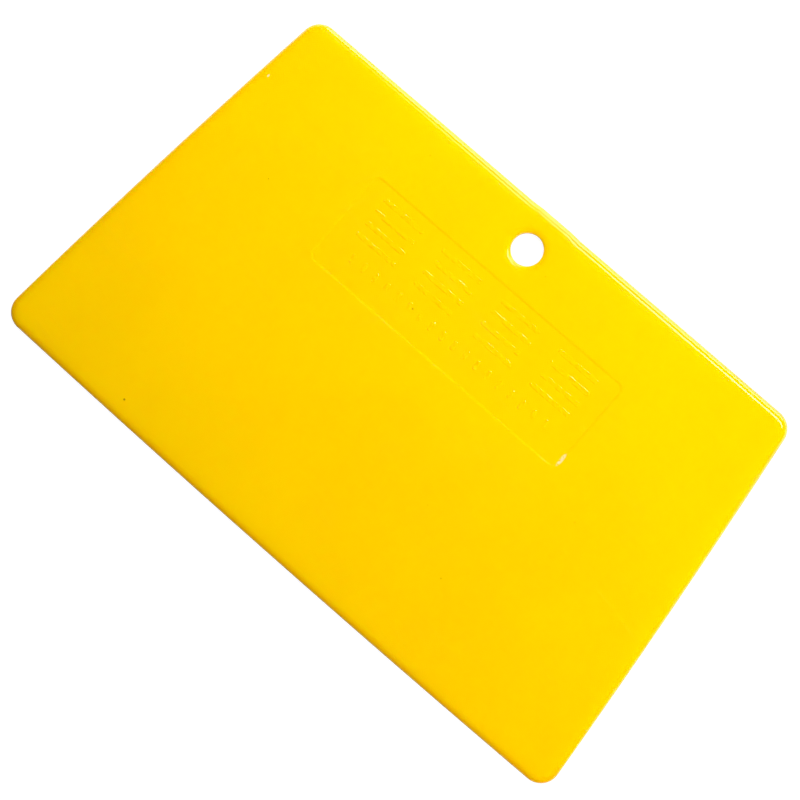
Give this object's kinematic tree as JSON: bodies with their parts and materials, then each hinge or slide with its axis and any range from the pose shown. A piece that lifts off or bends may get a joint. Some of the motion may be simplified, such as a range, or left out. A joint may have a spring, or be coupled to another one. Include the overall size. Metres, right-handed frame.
{
  "type": "squeegee applicator",
  "caption": "Flat trapezoid plastic card with a thin working edge, rounded rims, a hang hole near the held edge and a sunk grip panel, for pressing film flat.",
  "frame": {"origin": "centre of the bounding box on the flat back face", "axes": "+X along the long edges, +Y towards the held edge with the hang hole, +Z out of the sloping front face"},
  "size_m": [0.1326, 0.0804, 0.003],
  "materials": {
    "yellow_plastic": "glossy moulded yellow plastic"
  },
  "bodies": {
    "root": {"squeegee_card": "yellow_plastic"}
  },
  "joints": []
}
